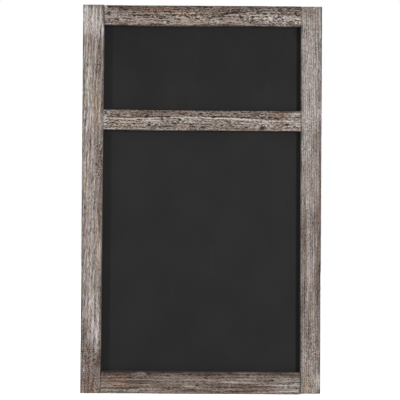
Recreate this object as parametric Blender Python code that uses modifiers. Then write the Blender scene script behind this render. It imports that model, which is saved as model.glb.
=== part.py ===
"""A wall chalkboard: two writing boards, one above the other, in a rustic wooden frame.

Lengths are in metres and +Z is up. The front faces -Y, the frame's back lies in the plane
y = 0, and the origin is the middle of the top rail's back face. Left and right are those
of someone who looks at the front.
"""

import math

import bmesh
import bpy

# Overall size of the frame, measured over the rails and over the stiles
HEIGHT = 0.610
WIDTH = 0.3765

# Widths of the five battens, seen from the front
STILE_WIDTH = 0.0324
TOP_RAIL_WIDTH = 0.0318
MIDDLE_RAIL_WIDTH = 0.0310
BOTTOM_RAIL_WIDTH = 0.0350

# Height of the opening between the top rail and the middle rail
UPPER_OPENING = 0.1337

# The battens were sawn by eye, so the stiles' ends miss the rails' outer edges a little
LEFT_STILE_STANDS_PROUD = 0.0006
RIGHT_STILE_STOPS_LOW = 0.0004
RIGHT_STILE_STOPS_HIGH = 0.0014

# The lip in front of the boards, and the rabbet behind it that takes them
LIP = 0.008
RABBET_DEPTH = 0.010
RABBET_WIDTH = 0.007
EDGE_ROUND = 0.0008
EDGE_SEGMENTS = 2

# The two boards
BOARD_THICKNESS = 0.003
BOARD_PLAY = 0.0005
BOARD_EDGE_ROUND = 0.0003

# Clearances: between pieces that seat on each other, and a cutter's reach past a face
SEAT_GAP = 0.0003
OVERCUT = 0.001

# Glued dowels between rails and stiles, one or two at each joint
DOWEL_RADIUS = 0.003
DOWEL_LENGTH = 0.030
DOWEL_TO_EDGE = 0.0059
DOWEL_CHAMFER = 0.0006
DOWEL_SIDES = 20

# Thin steel points, driven into the rabbet's wall, that hold the boards in
POINT_LENGTH = 0.015
POINT_WIDTH = 0.008
POINT_THICKNESS = 0.0005
POINT_SUNK = 0.007
POINT_TIP = 0.003
UPPER_POINT_SPREAD = 0.140
LOWER_POINT_SPREAD = 0.200
SIDE_POINT_PITCH = 0.130

# Hangers on the back of the stiles: a strap curled round a ring, held by two screws
HANGER_DROP = 0.055
STRAP_WIDTH = 0.009
STRAP_THICKNESS = 0.0012
STRAP_FOOT = 0.0055
STRAP_FOOT_ROUND = 0.003
FOOT_SEGMENTS = 4
LOOP_CLEARANCE = 0.0003
LOOP_SWEEP = math.radians(295)
LOOP_STEPS = 16
RING_WIRE_RADIUS = 0.0012
RING_SIDE_ROOM = 0.0025
RING_CORNER = 0.002
RING_CORNER_STEPS = 4
RING_SIDE = 0.005
RING_FOOT_STEPS = 20
RING_WIRE_RESOLUTION = 3
RING_TO_SCREW = 0.0017
SCREW_PITCH = 0.013
SCREW_RADIUS = 0.00175
SCREW_LENGTH = 0.012
SCREW_TIP = 0.003
SCREW_HEAD_RADIUS = 0.0034
SCREW_HEAD_HEIGHT = 0.0023
SCREW_HEAD_RIM = 0.0006
SCREW_HEAD_STEPS = 6
SCREW_SIDES = 24
RECESS_SPAN = 0.0036
RECESS_WIDTH = 0.0008
RECESS_DEPTH = 0.0012

# Rubber bumpers that keep the frame's foot off the wall
BUMPER_RADIUS = 0.005
BUMPER_HEIGHT = 0.003
BUMPER_ROUND = 0.0006
BUMPER_ROUND_SEGMENTS = 2
BUMPER_RISE = 0.015
BUMPER_SIDES = 32

# Places that follow from the sizes above
TOP = TOP_RAIL_WIDTH / 2
BOTTOM = TOP - HEIGHT
LIP_BACK = -RABBET_DEPTH
FRONT = LIP_BACK - LIP
OPENING_X = WIDTH / 2 - STILE_WIDTH
JOINT_X = OPENING_X + RABBET_WIDTH
BACK_ZONE_X = (WIDTH / 2 + JOINT_X) / 2
UPPER_TOP = TOP - TOP_RAIL_WIDTH
UPPER_BOTTOM = UPPER_TOP - UPPER_OPENING
LOWER_TOP = UPPER_BOTTOM - MIDDLE_RAIL_WIDTH
LOWER_BOTTOM = BOTTOM + BOTTOM_RAIL_WIDTH
BOARD_FRONT = LIP_BACK + SEAT_GAP
BOARD_BACK = BOARD_FRONT + BOARD_THICKNESS
DOWEL_Y = LIP_BACK / 2
LOOP_RADIUS = RING_WIRE_RADIUS + LOOP_CLEARANCE + STRAP_THICKNESS / 2
RING_Y = SEAT_GAP + LOOP_RADIUS + STRAP_THICKNESS / 2
RING_Z = TOP - HANGER_DROP
RING_HALF_WIDTH = STRAP_WIDTH / 2 + RING_SIDE_ROOM + RING_WIRE_RADIUS
RING_REACH = RING_SIDE + RING_HALF_WIDTH + RING_WIRE_RADIUS
SCREW_DROP = RING_REACH + RING_TO_SCREW + SCREW_HEAD_RADIUS
SCREW_DROPS = (SCREW_DROP, SCREW_DROP + SCREW_PITCH)
STRAP_LENGTH = SCREW_DROP + SCREW_PITCH + STRAP_FOOT

# The two sides of the frame, with the sign of their x
SIDES = ((-1, "left"), (1, "right"))

# Edges that turn by more than this are rounded on the small turned pieces
SHARP_TURN = math.radians(60)

# Directions in the plane of the frame, as (x, z), and the turn that brings +X there
LEFTWARD = (-1, 0)
RIGHTWARD = (1, 0)
UPWARD = (0, 1)
DOWNWARD = (0, -1)
TURN = {RIGHTWARD: 0.0, UPWARD: -math.pi / 2, LEFTWARD: math.pi, DOWNWARD: math.pi / 2}


def clear_scene():
    for thing in list(bpy.data.objects):
        bpy.data.objects.remove(thing)


def new_collection(name):
    made = bpy.data.collections.new(name)
    bpy.context.scene.collection.children.link(made)
    return made


def make_material(name, colour, roughness, metallic=0.0):
    made = bpy.data.materials.new(name)
    made.use_nodes = True
    shader = made.node_tree.nodes["Principled BSDF"]
    shader.inputs["Base Color"].default_value = (*colour, 1.0)
    shader.inputs["Roughness"].default_value = roughness
    shader.inputs["Metallic"].default_value = metallic
    return made


def place(name, data, collection, location=(0, 0, 0), rotation=(0, 0, 0), parent=None):
    """Puts a mesh or a curve into the scene as one named object."""
    piece = bpy.data.objects.new(name, data)
    piece.location = location
    piece.rotation_euler = rotation
    piece.parent = parent
    collection.objects.link(piece)
    return piece


def box_mesh(name, size):
    mesh = bpy.data.meshes.new(name)
    shape = bmesh.new()
    bmesh.ops.create_cube(shape, size=1.0)
    bmesh.ops.scale(shape, vec=size, verts=shape.verts)
    shape.to_mesh(mesh)
    shape.free()
    return mesh


def cylinder_mesh(name, radius, length, sides):
    """A cylinder about its own Z axis, centred on its origin."""
    mesh = bpy.data.meshes.new(name)
    shape = bmesh.new()
    bmesh.ops.create_cone(
        shape, cap_ends=True, segments=sides, radius1=radius, radius2=radius, depth=length
    )
    shape.to_mesh(mesh)
    shape.free()
    mesh.shade_smooth()
    mesh.set_sharp_from_angle(angle=math.radians(40))
    return mesh


def box(name, low, high, collection):
    size = [b - a for a, b in zip(low, high)]
    middle = [(a + b) / 2 for a, b in zip(low, high)]
    return place(name, box_mesh(name, size), collection, middle)


def round_edges(piece, width, segments, least_angle=math.radians(30)):
    bevel = piece.modifiers.new("round_edges", "BEVEL")
    bevel.width = width
    bevel.segments = segments
    bevel.limit_method = "ANGLE"
    bevel.angle_limit = least_angle


def cut(piece, cutter):
    """Takes the cutter's shape out of the piece and hides the cutter."""
    cutter.hide_render = True
    cutter.display_type = "WIRE"
    boolean = piece.modifiers.new(cutter.name, "BOOLEAN")
    boolean.operation = "DIFFERENCE"
    boolean.object = cutter


def cut_box(piece, name, low, high):
    cut(piece, box(name, low, high, cutters))


def batten(name, low, high, colour):
    piece = box(name, low, high, parts)
    piece.data.materials.append(make_material(name + "_wood", colour, 0.8))
    round_edges(piece, EDGE_ROUND, EDGE_SEGMENTS)
    return piece


def stile(name, side, head, foot, colour):
    """An upright from foot to head, on side -1 or 1, with the boards' rabbet along it."""
    inner, outer = sorted((side * OPENING_X, side * WIDTH / 2))
    piece = batten(name, (inner, FRONT, foot), (outer, 0, head), colour)
    near, far = sorted((side * (OPENING_X - OVERCUT), side * JOINT_X))
    cut_box(
        piece,
        name + "_rabbet",
        (near, LIP_BACK, foot - OVERCUT),
        (far, OVERCUT, head + OVERCUT),
    )
    return piece


def rail(name, foot, head, rabbets, colour):
    """A crosspiece whose back reaches into the stiles' rabbets, past their lips.

    The rabbets are the edges, UPWARD or DOWNWARD, along which it holds a board.
    """
    reach = JOINT_X - SEAT_GAP
    shoulder = OPENING_X - SEAT_GAP
    piece = batten(name, (-reach, FRONT, foot), (reach, 0, head), colour)
    for side, label in SIDES:
        near, far = sorted((side * shoulder, side * (reach + OVERCUT)))
        cut_box(
            piece,
            f"{name}_{label}_cope",
            (near, FRONT - OVERCUT, foot - OVERCUT),
            (far, LIP_BACK + SEAT_GAP, head + OVERCUT),
        )
    for edge in rabbets:
        low = foot - OVERCUT if edge == DOWNWARD else head - RABBET_WIDTH
        high = foot + RABBET_WIDTH if edge == DOWNWARD else head + OVERCUT
        cut_box(
            piece,
            f"{name}_{'lower' if edge == DOWNWARD else 'upper'}_rabbet",
            (-reach - OVERCUT, LIP_BACK, low),
            (reach + OVERCUT, OVERCUT, high),
        )
    return piece


def board(name, foot, head, material):
    """A painted panel that fills an opening and its rabbets, all but a little play."""
    reach_x = JOINT_X - BOARD_PLAY
    reach_z = RABBET_WIDTH - BOARD_PLAY
    piece = box(
        name,
        (-reach_x, BOARD_FRONT, foot - reach_z),
        (reach_x, BOARD_BACK, head + reach_z),
        parts,
    )
    piece.data.materials.append(material)
    round_edges(piece, BOARD_EDGE_ROUND, 1)


def dowel_joint(rail_piece, stiles, joint_name, low, high, count, material):
    """Dowels between a rail and both stiles, within the wood from low to high.

    Two stand DOWEL_TO_EDGE inside the wood's edges, and a single one is in its middle.
    """
    heights = ((low + high) / 2,)
    if count == 2:
        heights = (low + DOWEL_TO_EDGE, high - DOWEL_TO_EDGE)
    for side, label in SIDES:
        for number, height in enumerate(heights, 1):
            name = f"dowel_{joint_name}_{label}_{number}"
            where = (side * JOINT_X, DOWEL_Y, height)
            along_x = (0, math.pi / 2, 0)
            pin = cylinder_mesh(name, DOWEL_RADIUS, DOWEL_LENGTH, DOWEL_SIDES)
            pin.materials.append(material)
            dowel = place(name, pin, parts, where, along_x)
            round_edges(dowel, DOWEL_CHAMFER, 1, SHARP_TURN)
            bore_radius = DOWEL_RADIUS + SEAT_GAP
            bore_length = DOWEL_LENGTH + 2 * SEAT_GAP
            bore = cylinder_mesh(name + "_bore", bore_radius, bore_length, DOWEL_SIDES)
            cutter = place(name + "_bore", bore, cutters, where, along_x)
            cut(rail_piece, cutter)
            cut(stiles[side], cutter)


def point_outline(name, material):
    """A flat strip along +X with its tip at +POINT_SUNK and its wall line at 0."""
    half = POINT_WIDTH / 2
    tail = POINT_SUNK - POINT_LENGTH
    corners = (
        (tail, -half),
        (POINT_SUNK - POINT_TIP, -half),
        (POINT_SUNK, 0),
        (POINT_SUNK - POINT_TIP, half),
        (tail, half),
    )
    outline = bpy.data.curves.new(name, "CURVE")
    outline.dimensions = "2D"
    outline.fill_mode = "BOTH"
    outline.extrude = POINT_THICKNESS / 2
    line = outline.splines.new("POLY")
    line.points.add(len(corners) - 1)
    for point, (x, y) in zip(line.points, corners):
        point.co = (x, y, 0, 1)
    line.use_cyclic_u = True
    outline.materials.append(material)
    return outline


def drive_point(name, piece, x, z, out, outline):
    """Drives one point at (x, z) into a batten's rabbet wall, in the direction out."""
    middle_y = BOARD_BACK + SEAT_GAP + POINT_THICKNESS / 2
    place(name, outline, parts, (x, middle_y, z), (math.pi / 2, TURN[out], 0))
    half = POINT_WIDTH / 2 + SEAT_GAP
    depth = POINT_SUNK + SEAT_GAP
    half_y = POINT_THICKNESS / 2 + SEAT_GAP
    across = (abs(out[1]) * half, abs(out[0]) * half)
    near = (x - out[0] * OVERCUT, z - out[1] * OVERCUT)
    far = (x + out[0] * depth, z + out[1] * depth)
    low = [min(a, b) - c for a, b, c in zip(near, far, across)]
    high = [max(a, b) + c for a, b, c in zip(near, far, across)]
    cut_box(
        piece,
        name + "_slot",
        (low[0], middle_y - half_y, low[1]),
        (high[0], middle_y + half_y, high[1]),
    )


def hold_board(name, foot, head, rails, stiles, spread, side_count, outline):
    """The points round one board, which lies between two rails, the upper one first.

    Each rail holds two of them, spread apart, and each stile holds side_count.
    """
    over, under = rails
    top = head + RABBET_WIDTH
    bottom = foot - RABBET_WIDTH
    for side, label in SIDES:
        x = side * spread / 2
        drive_point(f"{name}_point_top_{label}", over, x, top, UPWARD, outline)
        drive_point(f"{name}_point_bottom_{label}", under, x, bottom, DOWNWARD, outline)
        out = LEFTWARD if side < 0 else RIGHTWARD
        for number in range(side_count):
            offset = SIDE_POINT_PITCH * ((side_count - 1) / 2 - number)
            z = (head + foot) / 2 + offset
            point_name = f"{name}_point_{label}_{number + 1}"
            drive_point(point_name, stiles[side], side * JOINT_X, z, out, outline)


def strap_sheet(name):
    """The middle surface of a strap about the ring's bar: up the back, then curled over.

    It is an open strip, whose foot corners are rounded before it gets its thickness.
    """
    profile = [(-LOOP_RADIUS, -STRAP_LENGTH)]
    for step in range(LOOP_STEPS + 1):
        angle = math.pi - LOOP_SWEEP * step / LOOP_STEPS
        profile.append((LOOP_RADIUS * math.cos(angle), LOOP_RADIUS * math.sin(angle)))
    mesh = bpy.data.meshes.new(name)
    shape = bmesh.new()
    line = [shape.verts.new((-STRAP_WIDTH / 2, y, z)) for y, z in profile]
    edges = [shape.edges.new(pair) for pair in zip(line, line[1:])]
    swept = bmesh.ops.extrude_edge_only(shape, edges=edges)["geom"]
    across = [v for v in swept if isinstance(v, bmesh.types.BMVert)]
    bmesh.ops.translate(shape, vec=(STRAP_WIDTH, 0, 0), verts=across)
    bmesh.ops.recalc_face_normals(shape, faces=shape.faces)
    shape.to_mesh(mesh)
    shape.free()
    return mesh


def add_strap(name, hanger, material):
    strap = place(name, strap_sheet(name), parts, parent=hanger)
    strap.data.materials.append(material)
    foot = strap.vertex_groups.new(name="foot")
    lowest = [v.index for v in strap.data.vertices if v.co.z < -STRAP_LENGTH + OVERCUT]
    foot.add(lowest, 1.0, "REPLACE")
    corners = strap.modifiers.new("round_foot", "BEVEL")
    corners.affect = "VERTICES"
    corners.limit_method = "VGROUP"
    corners.vertex_group = "foot"
    corners.width = STRAP_FOOT_ROUND
    corners.segments = FOOT_SEGMENTS
    sheet = strap.modifiers.new("sheet_thickness", "SOLIDIFY")
    sheet.thickness = STRAP_THICKNESS
    sheet.offset = 0
    sheet.use_even_offset = True
    return strap


def ring_line():
    """The wire's centre line, as (x, z): a straight bar at the top and a round foot."""
    corner_x = RING_HALF_WIDTH - RING_CORNER
    arcs = (
        (corner_x, -RING_CORNER, RING_CORNER, 90, 0, RING_CORNER_STEPS),
        (0, -RING_SIDE, RING_HALF_WIDTH, 0, -180, RING_FOOT_STEPS),
        (-corner_x, -RING_CORNER, RING_CORNER, 180, 90, RING_CORNER_STEPS),
    )
    line = []
    for x, z, radius, start, end, steps in arcs:
        for step in range(steps + 1):
            angle = math.radians(start + (end - start) * step / steps)
            line.append((x + radius * math.cos(angle), z + radius * math.sin(angle)))
    return line


def add_ring(name, hanger, material):
    """The hanging ring, whose origin is its hinge axis: the middle of its straight bar."""
    wire = bpy.data.curves.new(name, "CURVE")
    wire.dimensions = "3D"
    wire.bevel_depth = RING_WIRE_RADIUS
    wire.bevel_resolution = RING_WIRE_RESOLUTION
    spline = wire.splines.new("POLY")
    points = ring_line()
    spline.points.add(len(points) - 1)
    for point, (x, z) in zip(spline.points, points):
        point.co = (x, 0, z, 1)
    spline.use_cyclic_u = True
    wire.materials.append(material)
    place(name, wire, parts, parent=hanger)


def screw_mesh(name, material):
    """Half the outline of a pan-head screw, head up, to be turned about its Z axis."""
    outline = []
    dome = SCREW_HEAD_HEIGHT - SCREW_HEAD_RIM
    for step in range(SCREW_HEAD_STEPS + 1):
        angle = math.pi / 2 * step / SCREW_HEAD_STEPS
        rise = SCREW_HEAD_RIM + dome * math.cos(angle)
        outline.append((SCREW_HEAD_RADIUS * math.sin(angle), rise))
    outline.append((SCREW_HEAD_RADIUS, 0))
    outline.append((SCREW_RADIUS, 0))
    outline.append((SCREW_RADIUS, SCREW_TIP - SCREW_LENGTH))
    outline.append((0, -SCREW_LENGTH))
    mesh = bpy.data.meshes.new(name)
    shape = bmesh.new()
    line = [shape.verts.new((x, 0, z)) for x, z in outline]
    for pair in zip(line, line[1:]):
        shape.edges.new(pair)
    shape.to_mesh(mesh)
    shape.free()
    mesh.materials.append(material)
    return mesh


def add_screw(name, hanger, drop, strap, stile_piece, material):
    """A screw through the strap into the stile, drop below the ring's bar."""
    out_of_wood = (-math.pi / 2, 0, 0)
    strap_face = STRAP_THICKNESS / 2 - LOOP_RADIUS
    seat = strap_face + SEAT_GAP
    screw = place(
        name, screw_mesh(name, material), parts, (0, seat, -drop), out_of_wood, hanger
    )
    turn = screw.modifiers.new("turn", "SCREW")
    turn.axis = "Z"
    turn.steps = SCREW_SIDES
    turn.render_steps = SCREW_SIDES
    turn.use_merge_vertices = True
    turn.merge_threshold = 0.00001
    top = seat + SCREW_HEAD_HEIGHT
    for label, size in (
        ("upright", (RECESS_WIDTH, 2 * RECESS_DEPTH, RECESS_SPAN)),
        ("level", (RECESS_SPAN, 2 * RECESS_DEPTH, RECESS_WIDTH)),
    ):
        recess = f"{name}_recess_{label}"
        cutter = place(
            recess, box_mesh(recess, size), cutters, (0, top, -drop), parent=hanger
        )
        cut(screw, cutter)
    bore = cylinder_mesh(
        name + "_bore", SCREW_RADIUS + SEAT_GAP, 2 * SCREW_LENGTH, SCREW_SIDES
    )
    deepest = seat - SCREW_LENGTH - SEAT_GAP
    cutter = place(
        name + "_bore",
        bore,
        cutters,
        (0, deepest + SCREW_LENGTH, -drop),
        out_of_wood,
        hanger,
    )
    cut(strap, cutter)
    cut(stile_piece, cutter)


def add_hanger(label, side, stile_piece, steel):
    """One strap, ring and pair of screws, placed from the middle of the ring's bar."""
    hanger = place(f"{label}_hanger", None, parts, (side * BACK_ZONE_X, RING_Y, RING_Z))
    strap = add_strap(f"{label}_hanger_strap", hanger, steel)
    add_ring(f"{label}_hanger_ring", hanger, steel)
    for number, drop in enumerate(SCREW_DROPS, 1):
        name = f"{label}_hanger_screw_{number}"
        add_screw(name, hanger, drop, strap, stile_piece, steel)


def add_bumper(label, side, material):
    name = f"{label}_bumper"
    disc = cylinder_mesh(name, BUMPER_RADIUS, BUMPER_HEIGHT, BUMPER_SIDES)
    disc.materials.append(material)
    where = (side * BACK_ZONE_X, SEAT_GAP + BUMPER_HEIGHT / 2, BOTTOM + BUMPER_RISE)
    bumper = place(name, disc, parts, where, (-math.pi / 2, 0, 0))
    round_edges(bumper, BUMPER_ROUND, BUMPER_ROUND_SEGMENTS, SHARP_TURN)


clear_scene()
parts = new_collection("chalkboard")
cutters = new_collection("cutters")

# The frame: two stiles from head to foot, and three rails between them
left_stile = stile(
    "left_stile", -1, TOP + LEFT_STILE_STANDS_PROUD, BOTTOM, (0.30, 0.26, 0.23)
)
right_stile = stile(
    "right_stile",
    1,
    TOP - RIGHT_STILE_STOPS_LOW,
    BOTTOM + RIGHT_STILE_STOPS_HIGH,
    (0.25, 0.21, 0.19),
)
top_rail = rail("top_rail", UPPER_TOP, TOP, (DOWNWARD,), (0.22, 0.17, 0.14))
middle_rail = rail(
    "middle_rail", LOWER_TOP, UPPER_BOTTOM, (UPWARD, DOWNWARD), (0.24, 0.19, 0.16)
)
bottom_rail = rail("bottom_rail", BOTTOM, LOWER_BOTTOM, (UPWARD,), (0.17, 0.13, 0.12))

# The writing boards
chalk_paint = make_material("chalk_paint", (0.027, 0.027, 0.027), 0.85)
board("upper_board", UPPER_BOTTOM, UPPER_TOP, chalk_paint)
board("lower_board", LOWER_BOTTOM, LOWER_TOP, chalk_paint)

# The joints, in the wood that the rabbets leave in each rail
stiles = {-1: left_stile, 1: right_stile}
beech = make_material("dowel_beech", (0.55, 0.38, 0.22), 0.6)
dowel_joint(top_rail, stiles, "top", UPPER_TOP + RABBET_WIDTH, TOP, 2, beech)
dowel_joint(middle_rail, stiles, "middle", LOWER_TOP, UPPER_BOTTOM, 1, beech)
dowel_joint(bottom_rail, stiles, "bottom", BOTTOM, LOWER_BOTTOM - RABBET_WIDTH, 2, beech)

# The points that keep the boards in
plated_steel = make_material("plated_steel", (0.62, 0.60, 0.56), 0.35, 1.0)
point_strip = point_outline("framing_point", plated_steel)
upper_rails = (top_rail, middle_rail)
lower_rails = (middle_rail, bottom_rail)
hold_board(
    "upper", UPPER_BOTTOM, UPPER_TOP, upper_rails, stiles, UPPER_POINT_SPREAD, 1, point_strip
)
hold_board(
    "lower", LOWER_BOTTOM, LOWER_TOP, lower_rails, stiles, LOWER_POINT_SPREAD, 3, point_strip
)

# What meets the wall
add_hanger("left", -1, left_stile, plated_steel)
add_hanger("right", 1, right_stile, plated_steel)
rubber = make_material("bumper_rubber", (0.02, 0.02, 0.02), 0.9)
add_bumper("left", -1, rubber)
add_bumper("right", 1, rubber)
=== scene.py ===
import math
from collections import namedtuple
from dataclasses import dataclass
from itertools import starmap

import bmesh
import bpy
import numpy as np
from mathutils import Matrix, Vector


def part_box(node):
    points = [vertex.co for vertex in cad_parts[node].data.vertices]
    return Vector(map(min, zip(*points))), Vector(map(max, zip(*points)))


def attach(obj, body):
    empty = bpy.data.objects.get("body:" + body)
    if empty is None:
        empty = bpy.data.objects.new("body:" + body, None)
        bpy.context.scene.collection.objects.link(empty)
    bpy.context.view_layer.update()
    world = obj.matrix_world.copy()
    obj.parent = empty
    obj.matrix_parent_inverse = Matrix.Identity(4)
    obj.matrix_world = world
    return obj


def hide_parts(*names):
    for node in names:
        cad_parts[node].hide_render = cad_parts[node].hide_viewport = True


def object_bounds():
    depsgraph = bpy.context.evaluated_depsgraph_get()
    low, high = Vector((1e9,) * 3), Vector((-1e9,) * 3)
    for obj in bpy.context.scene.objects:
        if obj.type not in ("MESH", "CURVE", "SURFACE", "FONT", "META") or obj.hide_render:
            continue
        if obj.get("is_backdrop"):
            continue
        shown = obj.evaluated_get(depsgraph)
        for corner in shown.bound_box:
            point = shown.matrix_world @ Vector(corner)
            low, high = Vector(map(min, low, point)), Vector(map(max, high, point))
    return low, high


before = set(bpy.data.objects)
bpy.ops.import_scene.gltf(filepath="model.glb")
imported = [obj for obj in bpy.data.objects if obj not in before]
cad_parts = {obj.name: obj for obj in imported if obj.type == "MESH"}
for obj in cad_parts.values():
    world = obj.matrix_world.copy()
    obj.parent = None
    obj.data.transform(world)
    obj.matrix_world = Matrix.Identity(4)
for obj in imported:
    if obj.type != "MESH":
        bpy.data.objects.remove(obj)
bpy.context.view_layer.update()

# The looks of the wall chalkboard. Lengths are in metres, the front faces -Y and +Z is up.
# Places on the front are given in pixels of the photograph, through its camera.

# The photograph's camera, fitted to the frame's corners
PHOTO = 400
SENSOR = 36.0
LENS = 91.76
DISTANCE = 1.6
CAMERA_X = -0.0055
CAMERA_DROP = 0.0215
YAW = math.radians(-0.115)
PITCH = math.radians(0.732)
ROLL = math.radians(-0.372)

# Planes and places taken from the CAD nodes
left_low, left_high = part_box("left_stile")
right_low, right_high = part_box("right_stile")
top_low, top_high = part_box("top_rail")
middle_low, middle_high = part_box("middle_rail")
bottom_low, bottom_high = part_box("bottom_rail")
BOARD_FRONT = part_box("lower_board")[0].y
FRONT = left_low.y
BACK = left_high.y
HALF_WIDTH = right_high.x
BOTTOM = bottom_low.z
MIDDLE = (top_high.z + BOTTOM) / 2
OPENING_X = right_low.x
GAP = 0.0003
JOINT_X = top_high.x + GAP
LIP_BACK = BOARD_FRONT - GAP
RABBET = JOINT_X - OPENING_X
TINY = 1e-6

# Rounded edges of the battens, and how far chips and wear, with the shade painted along an edge, reach
# from them
ROUND = 0.0010
SOFT_END = 0.0006
CORNER_STEPS = 5
CHIP_REACH = 0.0014
WEAR_AND_SHADE_REACH = 0.0016

# Spacings of the battens' meshes: near rounded edges, behind, in the rabbets and lengthwise
FINE = 0.00075
BACK_FINE = 0.0009
COARSE = 0.0022
STEP = 0.0019

camera_place = Vector((CAMERA_X, FRONT - DISTANCE, MIDDLE - CAMERA_DROP))
camera_turn = (
    Matrix.Rotation(YAW, 3, "Z") @ Matrix.Rotation(PITCH, 3, "X") @ Matrix.Rotation(ROLL, 3, "Y")
)


def seen(px, py):
    """The place (x, z) on the front's plane that shows at a pixel of the photograph."""
    reach = LENS / SENSOR * PHOTO
    ray = camera_turn @ Vector(((px - PHOTO / 2) / reach, 1.0, (PHOTO / 2 - py) / reach))
    place = camera_place + ray * ((FRONT - camera_place.y) / ray.y)
    return place.x, place.z


def linear(colour):
    """A colour as a screen shows it, 0 to 255, as light."""
    shares = [value / 255 for value in colour]
    return [share / 12.92 if share <= 0.04045 else ((share + 0.055) / 1.055) ** 2.4 for share in shares]


def smooth(share):
    """A share from 0 to 1, eased at both ends."""
    return share * share * (3 - 2 * share)


def link(piece):
    bpy.context.scene.collection.objects.link(piece)


def dress(mesh, material):
    mesh.materials.clear()
    mesh.materials.append(material)


def add_piece(name, mesh, material, body, node):
    """Puts a detailed piece on a body, in place of a CAD node."""
    dress(mesh, material)
    piece = bpy.data.objects.new(name, mesh)
    link(piece)
    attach(piece, body)
    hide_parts(node)


# Nodes

class Value:
    """What a node gives. Each sum or product of it is a node of its own."""

    def __init__(self, net, socket):
        self.net = net
        self.socket = socket

    def __add__(self, other):
        return self.net.math("ADD", self, other)

    def __sub__(self, other):
        return self.net.math("SUBTRACT", self, other)

    def __rsub__(self, other):
        return self.net.math("SUBTRACT", other, self)

    def __mul__(self, other):
        return self.net.math("MULTIPLY", self, other)

    def ramp(self, low, high, start=0.0, end=1.0):
        """A smooth step from start, at low, to end, at high."""
        inputs = {0: self, 1: low, 2: high, 3: start, 4: end}
        return self.net.value("ShaderNodeMapRange", inputs, interpolation_type="SMOOTHSTEP")


class Net:
    """Adds nodes to a material's tree, or to a geometry group's, and links them."""

    def __init__(self, tree):
        self.tree = tree

    def node(self, kind, inputs=(), **settings):
        made = self.tree.nodes.new(kind)
        for name, value in settings.items():
            setattr(made, name, value)
        for name, value in dict(inputs).items():
            self.feed(made.inputs[name], value)
        return made

    def value(self, kind, inputs=(), output=0, **settings):
        """What one output of a new node gives."""
        return Value(self, self.node(kind, inputs, **settings).outputs[output])

    def feed(self, socket, value):
        if isinstance(value, Value):
            self.tree.links.new(value.socket, socket)
        else:
            socket.default_value = value

    def math(self, operation, a, b=0.0):
        return self.value("ShaderNodeMath", {0: a, 1: b}, operation=operation)

    def join(self, x, y, z):
        return self.value("ShaderNodeCombineXYZ", {0: x, 1: y, 2: z})

    def split(self, vector):
        made = self.node("ShaderNodeSeparateXYZ", {0: vector})
        return [Value(self, socket) for socket in made.outputs]

    def stretch(self, place, x, y, z):
        """A place with each of its coordinates times a factor."""
        inputs = {0: place, 1: (x, y, z)}
        return self.value("ShaderNodeVectorMath", inputs, operation="MULTIPLY")

    def noise(self, where, scale=1.0, detail=2.0, rough=0.5, swirl=0.0, output=0):
        inputs = {
            "Vector": where, "Scale": scale, "Detail": detail,
            "Roughness": rough, "Distortion": swirl,
        }
        return self.value("ShaderNodeTexNoise", inputs, output)

    def mix(self, share, a, b, blend="MIX"):
        made = self.node("ShaderNodeMix", data_type="RGBA", blend_type=blend)
        for index, value in ((0, share), (6, a), (7, b)):
            if isinstance(value, tuple):
                value = (*value, 1.0)
            self.feed(made.inputs[index], value)
        return Value(self, made.outputs[2])

    def layer(self, colour, over, field, low, high, share=1.0):
        """A colour under another one, which grows to its share as a field goes from low to high."""
        return self.mix(field.ramp(low, high, 0.0, share), colour, over)


class Surface(Net):
    """A new material with a Principled shader, and the place of each point on the object."""

    def __init__(self, name):
        self.material = bpy.data.materials.new(name)
        self.material.use_nodes = True
        super().__init__(self.material.node_tree)
        self.shader = self.tree.nodes["Principled BSDF"]
        self.place = self.value("ShaderNodeTexCoord", output="Object")

    def finish(self, colour, rough, height, strength, depth, specular=0.5, metallic=0.0):
        """Sets the shader's colour, roughness and gloss, and its bump from a height."""
        bump = {"Height": height, "Strength": strength, "Distance": depth}
        sockets = {
            "Base Color": colour, "Roughness": rough, "Specular IOR Level": specular,
            "Metallic": metallic, "Normal": self.value("ShaderNodeBump", bump),
        }
        for name, value in sockets.items():
            self.feed(self.shader.inputs[name], value)
        return self.material


# Wood

# How the brushed wood's own tone changes: in late wood, and where it is washed or burnt
LATE_WOOD = (0.86, 0.74, 0.66)
WASHED = (2.14, 2.12, 2.10)
SCORCHED = (0.24, 0.19, 0.17)

# No wash is paler than this, and worn edges, with the shade painted along one of them, are this dark
PALEST = (0.60, 0.575, 0.555)
GRIME_AND_SHADE = (0.060, 0.052, 0.045)


@dataclass
class Wood:
    """How one batten's wood grows. Lengths are in millimetres.

    A dash is (length, width, strength), as a streak is. The pith is (across, deep), the
    ring is the growth rings' spacing, and a knot is (along, across, radius, turn).
    """

    name: str
    upright: bool
    seed: float
    pith: tuple
    tilt: float
    ring: float
    dash: tuple
    streak: tuple
    lanes: float
    cloud: float
    sway: float
    ripple: float
    tint: float
    contrast: float
    bite: float
    knot: tuple = ()


def centred(noise, amount):
    """A noise as something that adds and takes away, by an amount."""
    return (noise - 0.5) * amount


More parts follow.
